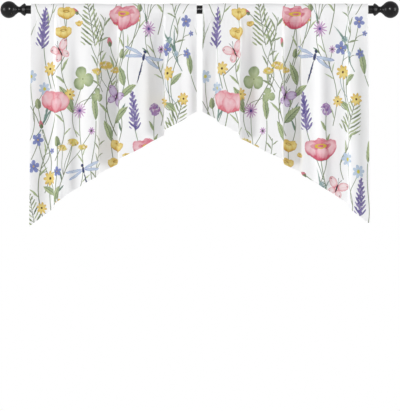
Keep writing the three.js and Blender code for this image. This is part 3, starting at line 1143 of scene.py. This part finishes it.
def leaf_ink(x, y, form, seed):
    width, full, bend, _ = form
    share = (y + 1) * 0.5
    bent = x - bend * (1 - y * y)
    swell = (share * (1 - share) * 4).most(0) ** full
    edge = width * swell * (1.18 - share * 0.36)
    cover = (edge - abs(bent)).soft(0, 0.05)
    across = abs(bent) / edge.most(0.01)
    rib = (0.035 - abs(bent)).soft(0, 0.025) * width.soft(0.12, 0.25)
    vein = (y - abs(bent) * 1.2) * 4.2
    vein = (abs(vein.math("FRACT") - 0.5) - 0.40).soft(0, 0.06) * width.soft(0.22, 0.3)
    tone = bent.soft(-0.03, 0.03) * 0.5 + (1 - share) * 0.5
    return cover, tone, rib * 0.75 + vein * 0.45 + across ** 6 * 0.25, 0.78 + (across ** 5) * 0.3


def bloom_ink(x, y, form, seed):
    petals, cut, sharp, centre = form
    radius = (x * x + y * y) ** 0.5
    angle = y.math("ARCTAN2", x) + seed * 6.28
    petal = abs((angle * petals * 0.5).math("COSINE"))
    edge = 1 - cut * (1 - petal ** sharp)
    cover = (edge - radius).soft(0, 0.07)
    out = radius / edge
    fold = (1 - petal) ** 3 * out.soft(0.1, 0.5)
    streak = (angle * petals * 3).math("COSINE") * 0.08 * out
    tone = (out ** 1.4) * 0.95 - fold * 0.6
    mark = (centre - radius).soft(-0.04, 0.05)
    return cover, tone, mark, 0.76 + streak + (out ** 7) * 0.25 + fold * 0.25


def cup_ink(x, y, form, seed):
    opened = form[0]
    x = x / (1 + y * 0.3)
    ruffle = (x * 8 + seed * 6).math("SINE") * 0.05 + (x * 19 + seed * 9).math("SINE") * 0.02
    up = y + ruffle
    bowl = lobe(x, y, (0, -0.06), (0.86, 0.56))
    back = lobe(x, up, (0, 0.20), (0.92, 0.36))
    sides = lobe(abs(x), up, (0.54, 0.06), (0.40, 0.48), 0.5)
    front = lobe(x, up, (0.06, -0.17), (0.46, 0.44))
    mouth = lobe(x, up, (0, 0.20), (0.66, 0.18))
    heart = lobe(x, y, (0, 0.17), (0.38, 0.13))
    base = (-y).soft(-0.1, 0.55)
    spoke = ((x / (y + 1.2).most(0.1)) * 24 + seed * 9).math("SINE") * 0.1
    cover = inside(back)
    tone, strength = 0.5 + back ** 4 * 0.4, 0.70 + back ** 6 * 0.25
    for distance, light in ((bowl, 0.32), (sides, 0.16), (front, 0.0)):
        here = inside(distance)
        tone = tone.to(light + distance ** 3 * 0.7, here)
        strength = strength.to(0.66 + distance ** 5 * 0.4, here)
        cover = cover.most(here)
    tone = tone + base * 0.55
    inner = inside(mouth, 0.12) * opened
    tone = tone.to(1.0 - mouth * 0.35, inner)
    strength = (strength + base * 0.2).to(0.92, inner)
    ring = inside(abs(heart - 0.72) * 3.2, 0.5) * opened
    return cover, tone + spoke, ring, strength.to(1.0, ring)


def frond_ink(x, y, form, seed):
    width, count, fat, taper = form
    share = (y + 1) * 0.5
    long = width * ((1 - share).most(0) ** taper) * share.soft(0, 0.12)
    out = abs(x) / long.most(0.01)
    place = (share - abs(x) * 0.55) * count + x.math("GREATER_THAN", 0) * 0.5
    from_middle = abs(place.math("FRACT") - 0.5) * 2
    thick = fat * ((out * (1.02 - out) * 4).most(0) ** 0.5)
    leaflet = (thick - from_middle).soft(0, 0.22) * (1 - out).soft(0, 0.06)
    rib = (0.025 - abs(x)).soft(0, 0.015) * y.soft(-1, -0.95) * (0.93 - y).soft(0, 0.1)
    each = (place.math("FLOOR") * 2.7 + seed * 9).math("SINE") * 0.35
    return leaflet.most(rib), 0.5 + each + from_middle * 0.4, rib * 0.5, 0.88


def cluster_ink(x, y, form, seed):
    """A head of small florets, each a dot of its own tone."""
    width, tall, whorl, scale = form
    place = x.tree.nodes.new("ShaderNodeCombineXYZ")
    for value, slot in zip((x * scale + seed * 40, y * scale * 0.8), place.inputs):
        x.tree.links.new(value.socket, slot)
    cells = x.tree.nodes.new("ShaderNodeTexVoronoi")
    cells.voronoi_dimensions = "2D"
    cells.inputs["Scale"].default_value = 1
    x.tree.links.new(place.outputs[0], cells.inputs["Vector"])
    away = Field(x.tree, cells.outputs["Distance"])
    split = x.tree.nodes.new("ShaderNodeSeparateXYZ")
    x.tree.links.new(cells.outputs["Color"], split.inputs[0])
    own, other = Field(x.tree, split.outputs[0]), Field(x.tree, split.outputs[1])
    high = y / tall
    long = width * (1 - high * high).most(0) ** 0.5 * (1 - whorl + whorl * (y * 17).math("COSINE"))
    long = long * (1 - (y + 1) * whorl)
    near = 1 - abs(x) / long.most(0.02) + (own - 0.5) * 0.4
    cover = near.soft(0.02, 0.14) * (0.45 + (0.68 - away).soft(0, 0.2) * 0.55)
    return cover, own * 0.7 + away * 0.7, (other - 0.82).soft(0, 0.05) * 0.4, 0.72 + other * 0.28


def wings_ink(x, y, upper, lower, body, vein_count):
    mirrored = abs(x)
    far_upper, far_lower = lobe(mirrored, y, *upper), lobe(mirrored, y, *lower)
    wing_lower, wing_upper = inside(far_lower), inside(far_upper)
    out = far_lower.to(far_upper, wing_upper)
    angle = y.math("ARCTAN2", mirrored)
    vein = (abs((angle * vein_count).math("FRACT") - 0.5) - 0.42).soft(0, 0.06)
    cover = wing_lower.most(wing_upper)
    mark = None
    for part in body:
        here = inside(lobe(x, y, *part), 0.3)
        mark = here if mark is None else mark.most(here)
    root = (0.42 - (x * x + y * y) ** 0.5).soft(0, 0.4)
    tone = out ** 3 * 0.9 + vein * 0.35 + root * 0.7
    return cover.most(mark), tone, mark, 0.66 + out ** 6 * 0.4 + vein * 0.15


def butterfly_ink(x, y, form, seed):
    upper, lower = ((0.47, 0.33), (0.52, 0.33), 0.62), ((0.33, -0.33), (0.37, 0.27), -0.75)
    cover, tone, mark, strength = wings_ink(x, y, upper, lower, [((0, 0.02), (0.07, 0.44))], 1.9)
    feeler = (0.03 - abs(abs(x) - (y - 0.36) * 0.42)).soft(0, 0.02)
    feeler = feeler * (y - 0.4).soft(0, 0.02) * (0.8 - y).soft(0, 0.02)
    dot = inside(lobe(abs(x), y, (0.76, 0.52), (0.08, 0.06)), 0.4)
    dot = dot + inside(lobe(abs(x), y, (0.5, -0.42), (0.07, 0.06)), 0.4)
    return cover.most(feeler), tone, mark.most(feeler).most(dot * 0.7), strength.most(feeler)


def dragonfly_ink(x, y, form, seed):
    upper, lower = ((0.53, 0.35), (0.47, 0.07), 0.13), ((0.48, 0.13), (0.43, 0.07), -0.24)
    body = [((0, -0.40), (0.042, 0.60)), ((0, 0.24), (0.085, 0.19)), ((0, 0.47), (0.095, 0.08))]
    return wings_ink(x, y, upper, lower, body, 6)


INK_SHAPES = {
    STEM: stem_ink,
    LEAF: leaf_ink,
    BLOOM: bloom_ink,
    CUP: cup_ink,
    FROND: frond_ink,
    CLUSTER: cluster_ink,
    BUTTERFLY: butterfly_ink,
    DRAGONFLY: dragonfly_ink,
}


def motif_ink():
    """A node group that paints one layer's motif over the cloth's colour, as watercolour."""
    group = bpy.data.node_groups.new("watercolour_motif", "ShaderNodeTree")
    sockets = {
        "Color": ("Under", "Inner", "Outer", "Mark"),
        "Vector": ("Chart", "Form", "Wobble"),
        "Float": ("Fourth", "Loose", "Wash"),
    }
    for kind, names in sockets.items():
        for name in names:
            group.interface.new_socket(name, in_out="INPUT", socket_type="NodeSocket" + kind)
    group.interface.new_socket("Colour", in_out="OUTPUT", socket_type="NodeSocketColor")
    given = group.nodes.new("NodeGroupInput")
    nodes, links = group.nodes, group.links

    def parts(socket):
        node = nodes.new("ShaderNodeSeparateXYZ")
        links.new(socket, node.inputs[0])
        return [Field(group, output) for output in node.outputs]

    # Each layer waits for the one under it, so that the renderer holds only one layer's numbers at a time
    turn = parts(given.outputs["Under"])[0] * 1e-7
    chart_x, chart_y, code = (part + turn for part in parts(given.outputs["Chart"]))
    wobble_x, wobble_y, _ = parts(given.outputs["Wobble"])
    form = (*parts(given.outputs["Form"]), Field(group, given.outputs["Fourth"]))
    kind = code.math("FLOOR")
    seed = code.math("FRACT")
    wash = Field(group, given.outputs["Wash"])
    loose = Field(group, given.outputs["Loose"])
    x = chart_x + (wobble_x - 0.5) * loose
    y = chart_y + (wobble_y - 0.5) * loose
    totals = None
    for number, shape in INK_SHAPES.items():
        chosen = kind.is_kind(number)
        found = [value * chosen for value in shape(x, y, form, seed)]
        totals = found if totals is None else [a + b for a, b in zip(totals, found)]
    cover, tone, mark, strength = totals

    def blend(a, b, share):
        node = nodes.new("ShaderNodeMix")
        node.data_type = "RGBA"
        for value, slot in ((share.socket, 0), (a, 6), (b, 7)):
            links.new(value, node.inputs[slot])
        return node.outputs[2]

    tone = tone + (wash - 0.5) * 0.7
    body = blend(given.outputs["Inner"], given.outputs["Outer"], tone.most(0).least(1))
    body = blend(body, given.outputs["Mark"], mark.most(0).least(1))
    strength = strength.to(1.2, mark.most(0).least(1)) * (0.60 + wash * 0.52)
    thinned = nodes.new("ShaderNodeGamma")
    links.new(body, thinned.inputs["Color"])
    links.new(strength.most(0).socket, thinned.inputs["Gamma"])
    soaked = nodes.new("ShaderNodeVectorMath")
    soaked.operation = "MULTIPLY"
    links.new(thinned.outputs[0], soaked.inputs[0])
    soaked.inputs[1].default_value = PAPER
    wet = soaked.outputs[0]
    result = blend(given.outputs["Under"], wet, cover.least(1) * 0.98)
    links.new(result, nodes.new("NodeGroupOutput").inputs[0])
    return group


# Finishes

def new_material(name):
    """A plain material; returns it, its tree and its shader."""
    material = bpy.data.materials.new(name)
    material.use_nodes = True
    return material, material.node_tree, material.node_tree.nodes["Principled BSDF"]


def two_tones(tree, shader, low, high, share):
    """Gives a shader a colour between two, by a share from 0 to 1."""
    shade = tree.nodes.new("ShaderNodeMix")
    shade.data_type = "RGBA"
    shade.inputs[6].default_value = (*low, 1)
    shade.inputs[7].default_value = (*high, 1)
    tree.links.new(share.socket, shade.inputs[0])
    tree.links.new(shade.outputs[2], shader.inputs["Base Color"])


def noise(tree, place, scale, detail=2.0, roughness=0.5, stretch=(1, 1, 1), output="Fac"):
    """Noise on flat cloth or object coordinates; scale in bumps to the metre."""
    mapping = tree.nodes.new("ShaderNodeMapping")
    mapping.inputs["Scale"].default_value = [scale * s for s in stretch]
    tree.links.new(place, mapping.inputs["Vector"])
    texture = tree.nodes.new("ShaderNodeTexNoise")
    texture.inputs["Scale"].default_value = 1
    texture.inputs["Detail"].default_value = detail
    texture.inputs["Roughness"].default_value = roughness
    tree.links.new(mapping.outputs[0], texture.inputs["Vector"])
    return texture.outputs[output]


def scaled_colour(tree, colour, share):
    """A colour times a number."""
    node = tree.nodes.new("ShaderNodeVectorMath")
    node.operation = "SCALE"
    tree.links.new(colour, node.inputs[0])
    tree.links.new(share.socket, node.inputs["Scale"])
    return node.outputs[0]


def bump(tree, shader, height, distance, strength):
    node = tree.nodes.new("ShaderNodeBump")
    node.inputs["Distance"].default_value = distance
    node.inputs["Strength"].default_value = strength
    tree.links.new(height.socket, node.inputs["Height"])
    tree.links.new(node.outputs[0], shader.inputs["Normal"])


def printed_cloth():
    """White woven polyester with the print soaked in; on the wrong side it shows through more faintly."""
    material, tree, shader = new_material("watercolour_print_on_white_cloth")
    nodes, links = tree.nodes, tree.links
    cut = nodes.new("ShaderNodeUVMap")
    cut.uv_map = "cut"
    cut = cut.outputs[0]

    def attribute(name):
        node = nodes.new("ShaderNodeAttribute")
        node.attribute_name = name
        return node.outputs

    wobble = noise(tree, cut, 62, 3, 0.6, output="Color")
    wash = Field(tree, noise(tree, cut, 34, 4, 0.6))
    group = motif_ink()
    under = None
    for layer in range(LAYERS):
        chart, form = attribute(f"chart_{layer}"), attribute(f"form_{layer}")
        inks = {name: attribute(f"{name}_{layer}") for name in ("inner", "outer", "mark")}
        paint = nodes.new("ShaderNodeGroup")
        paint.node_tree = group
        paint.inputs["Under"].default_value = (*PAPER, 1)
        if under:
            links.new(under, paint.inputs["Under"])
        links.new(chart["Vector"], paint.inputs["Chart"])
        links.new(form["Vector"], paint.inputs["Form"])
        links.new(form["Alpha"], paint.inputs["Fourth"])
        for name, found in inks.items():
            links.new(found["Color"], paint.inputs[name.capitalize()])
        links.new(inks["inner"]["Alpha"], paint.inputs["Loose"])
        links.new(wobble, paint.inputs["Wobble"])
        links.new(wash.socket, paint.inputs["Wash"])
        under = paint.outputs[0]

    wrong = Field(tree, attribute("wrong_side")["Fac"])
    faint = nodes.new("ShaderNodeMix")
    faint.data_type = "RGBA"
    faint.inputs[7].default_value = (*PAPER, 1)
    links.new((wrong * 0.5).socket, faint.inputs[0])
    links.new(under, faint.inputs[6])

    where = nodes.new("ShaderNodeSeparateXYZ")
    links.new(cut, where.inputs[0])
    across, along = (Field(tree, output) for output in where.outputs[:2])
    turns = 2 * math.pi / THREAD
    warp = (across * turns).math("SINE")
    weft = (along * turns).math("SINE")
    over = (across * turns * 0.5).math("SINE") * (along * turns * 0.5).math("SINE")
    slub_down = Field(tree, noise(tree, cut, 900, 2, 0.6, stretch=(1, 0.035, 1)))
    slub_across = Field(tree, noise(tree, cut, 900, 2, 0.6, stretch=(0.035, 1, 1)))
    slubs = slub_down + slub_across - 1
    crumple = Field(tree, noise(tree, cut, 120, 3, 0.55))
    # Painted shade of the weave: the colour is a touch lighter on the threads' crests and darker in the
    # hollows between them, following the bump's height; the slubs' tone is the yarn's own
    colour = scaled_colour(tree, faint.outputs[2], 1 + slubs * 0.05 + (warp + weft) * 0.006)
    links.new(colour, shader.inputs["Base Color"])
    links.new((0.84 + slubs * 0.12 + (crumple - 0.5) * 0.06).socket, shader.inputs["Roughness"])
    shader.inputs["Sheen Weight"].default_value = 0.12
    shader.inputs["Sheen Roughness"].default_value = 0.45
    shader.inputs["Specular IOR Level"].default_value = 0.3
    height = (warp + weft) * 0.1 + over * 0.12 + slubs * 0.7 + (crumple - 0.5) * 2.4
    bump(tree, shader, height, 0.22 * MM, 0.8)
    return material


def black_paint():
    """Satin black powder paint with a faint orange peel, a little rubbed in small lighter specks."""
    material, tree, shader = new_material("satin_black_paint")
    place = tree.nodes.new("ShaderNodeTexCoord").outputs["Object"]
    cloud = Field(tree, noise(tree, place, 28, 4, 0.6))
    peel = Field(tree, noise(tree, place, 620, 2, 0.5))
    specks = Field(tree, noise(tree, place, 1900, 1, 0.5)).soft(0.66, 0.8)
    share = (cloud * 0.7 + specks * 0.5).least(1)
    two_tones(tree, shader, (0.004, 0.004, 0.0045), (0.013, 0.0125, 0.013), share)
    tree.links.new((0.25 + (cloud - 0.5) * 0.12 + specks * 0.10).socket, shader.inputs["Roughness"])
    shader.inputs["Specular IOR Level"].default_value = 0.2
    bump(tree, shader, (peel - 0.5) + specks * 0.3, 0.05 * MM, 0.6)
    return material


def sewing_thread():
    """Matt white sewing thread, its twist just showing."""
    material, tree, shader = new_material("white_sewing_thread")
    place = tree.nodes.new("ShaderNodeTexCoord").outputs["Object"]
    fibres = Field(tree, noise(tree, place, 2600, 3, 0.6))
    two_tones(tree, shader, (0.70, 0.70, 0.71), (0.90, 0.90, 0.905), fibres.soft(0.3, 0.7))
    tree.links.new((0.6 + (fibres - 0.5) * 0.3).socket, shader.inputs["Roughness"])
    shader.inputs["Sheen Weight"].default_value = 0.2
    bump(tree, shader, fibres, 0.08 * MM, 0.7)
    return material


# The studio and the camera

def aim(thing, target):
    thing.rotation_euler = (Vector(target) - thing.location).to_track_quat("-Z", "Y").to_euler()


def photo_camera():
    """Square on to the curtains, with the photograph's frame; its longer side is the height."""
    camera_data = bpy.data.cameras.new("camera")
    camera_data.sensor_width = SENSOR
    camera_data.lens = SENSOR * CAMERA_DISTANCE / (PHOTO_HEIGHT * METRES_PER_PIXEL)
    camera_data.clip_end = 100
    camera = add_object("camera", camera_data)
    x = (PHOTO_WIDTH / 2 - ORIGIN_PIXEL[0]) * METRES_PER_PIXEL
    z = (ORIGIN_PIXEL[1] - PHOTO_HEIGHT / 2) * METRES_PER_PIXEL
    camera.location = (x, -CAMERA_DISTANCE, z)
    camera.rotation_euler = (math.pi / 2, 0, 0)
    bpy.context.scene.camera = camera


def softbox(name, place, target, size, power):
    data = bpy.data.lights.new(name, "AREA")
    data.shape = "RECTANGLE"
    data.size, data.size_y = size
    data.energy = power
    light = add_object(name, data)
    light.location = place
    bpy.context.view_layer.update()
    aim(light, target)
    return light


def studio():
    world = bpy.data.worlds.new("white_studio")
    world.use_nodes = True
    nodes, links = world.node_tree.nodes, world.node_tree.links
    nodes.clear()
    light, backdrop = nodes.new("ShaderNodeBackground"), nodes.new("ShaderNodeBackground")
    for even_white, strength in ((light, 0.64), (backdrop, 1.0)):
        even_white.inputs["Color"].default_value = (1, 1, 1, 1)
        even_white.inputs["Strength"].default_value = strength
    path = nodes.new("ShaderNodeLightPath")
    choose = nodes.new("ShaderNodeMixShader")
    links.new(path.outputs["Is Camera Ray"], choose.inputs["Fac"])
    links.new(light.outputs[0], choose.inputs[1])
    links.new(backdrop.outputs[0], choose.inputs[2])
    links.new(choose.outputs[0], nodes.new("ShaderNodeOutputWorld").inputs["Surface"])
    bpy.context.scene.world = world
    for name, x in (("side_light_left", -4.0), ("side_light_right", 4.0)):
        softbox(name, (x, -1.5, 0.1), (0, 0, -0.4), (1.7, 1.7), 80)
    softbox("front_light", (0, -4.6, 0.5), (0, 0, -0.2), (0.3, 0.3), 8)
    # For reflections only: the small bright spot near the middle of each ball
    spot = softbox("spot_light", (0, -4.6, 0.7), (0, 0, -0.2), (0.34, 0.34), 150)
    spot.visible_diffuse = False
    bpy.context.scene.view_settings.view_transform = "Standard"


def floor():
    mesh = bpy.data.meshes.new("floor")
    half, z = 5.0, -2.2
    corners = [(-half, -half, z), (half, -half, z), (half, half, z), (-half, half, z)]
    mesh.from_pydata(corners, [], [(0, 1, 2, 3)])
    piece = add_object("floor", mesh)
    paint, _, shader = new_material("pale_floor")
    shader.inputs["Base Color"].default_value = (0.86, 0.86, 0.86, 1)
    shader.inputs["Roughness"].default_value = 0.7
    mesh.materials.append(paint)


photo_camera()
studio()
floor()
left, left_flat, left_cloth = curtain_sheet("curtain_left_cloth", -1, LEFT_FOLDS, LONGEST_DROP, 11)
right, right_flat, right_cloth = curtain_sheet("curtain_right_cloth", 1, RIGHT_FOLDS, RIGHT_DROP, 47)
lathe, running_stitch = lathe_tree(), stitch_tree()
cloth_finish, black_finish, thread_finish = printed_cloth(), black_paint(), sewing_thread()
for sheet, on_flat in ((left, left_flat), (right, right_flat)):
    sheet.data.materials.append(cloth_finish)
    lay_print(sheet, on_flat)
left_stitching = stitching("stitching_left", left_cloth, -1, thread_finish)
right_stitching = stitching("stitching_right", right_cloth, 1, thread_finish)
pole_tube = pole(black_finish)
left_ball = ball_end("ball_end_left", -1, black_finish)
right_ball = ball_end("ball_end_right", 1, black_finish)

for piece in (left, right, left_stitching, right_stitching, pole_tube, left_ball, right_ball):
    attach(piece, "root")
for piece, node in ((left, "curtain_left"), (right, "curtain_right"), (pole_tube, "pole"),
                    (left_ball, "finial_left"), (right_ball, "finial_right")):
    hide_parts(node)
for piece, cloth, stitches in ((left, left_cloth, left_stitching), (right, right_cloth, right_stitching)):
    drops = cloth["v"][-1] - cloth["v"][0]
